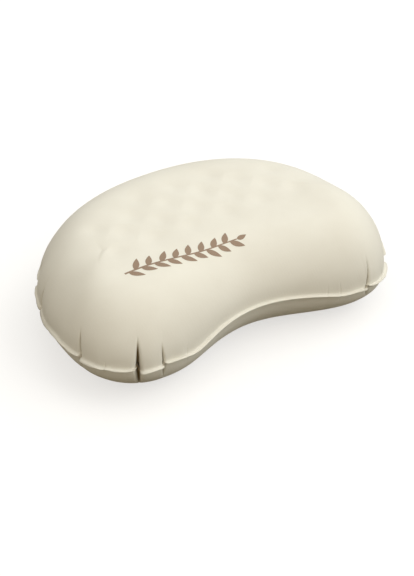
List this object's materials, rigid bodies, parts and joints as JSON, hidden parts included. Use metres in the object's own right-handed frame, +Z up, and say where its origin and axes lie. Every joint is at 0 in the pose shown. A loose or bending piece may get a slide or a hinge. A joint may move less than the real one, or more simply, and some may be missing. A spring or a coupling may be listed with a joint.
{
  "type": "camp pillow",
  "caption": "Kidney-shaped inflatable camp pillow with a welded edge, a hollow neck side, inner tie straps and a two-stage flat air valve.",
  "frame": {"origin": "on the ground, under the middle of the pillow's outline", "axes": "+X along the length, +Y to the round back (the hollow neck side faces -Y), +Z up"},
  "size_m": [0.42, 0.2975, 0.122],
  "materials": {
    "laminate": "matt brushed woven face, film-coated inside",
    "tie_strap": "satin coated strip",
    "patch": "satin film",
    "valve": "satin moulded",
    "flap": "smooth silicone"
  },
  "bodies": {
    "cushion": {"top_panel": "laminate", "bottom_panel": "laminate", "tie_01": "tie_strap", "tie_02": "tie_strap", "tie_03": "tie_strap", "tie_04": "tie_strap", "tie_05": "tie_strap", "tie_06": "tie_strap", "tie_07": "tie_strap", "tie_08": "tie_strap", "tie_09": "tie_strap", "tie_10": "tie_strap", "tie_11": "tie_strap", "tie_12": "tie_strap", "tie_13": "tie_strap", "tie_14": "tie_strap", "tie_15": "tie_strap", "tie_16": "tie_strap", "tie_17": "tie_strap", "tie_18": "tie_strap", "tie_19": "tie_strap", "tie_20": "tie_strap", "valve_patch": "patch", "valve_base": "valve", "plug_strap": "valve"},
    "plug": {"deflate_plug": "valve", "cap_strap": "valve"},
    "cap": {"inflate_cap": "valve"},
    "flap": {"check_flap": "flap"}
  },
  "joints": [
    {"name": "plug_hinge", "type": "hinge", "parent": "cushion", "child": "plug", "pos_m": [0.07291, 0.12148, 0.02008], "axis": [0.2585, 0.6712, 0.6947], "range_deg": [0, 120]},
    {"name": "cap_hinge", "type": "hinge", "parent": "plug", "child": "cap", "pos_m": [0.09808, 0.11338, 0.01854], "axis": [-0.2585, -0.6712, -0.6947], "range_deg": [0, 150]},
    {"name": "flap_hinge", "type": "hinge", "parent": "plug", "child": "flap", "pos_m": [0.07856, 0.11417, 0.02505], "axis": [-0.2585, -0.6712, -0.6947], "range_deg": [0, 35]}
  ]
}
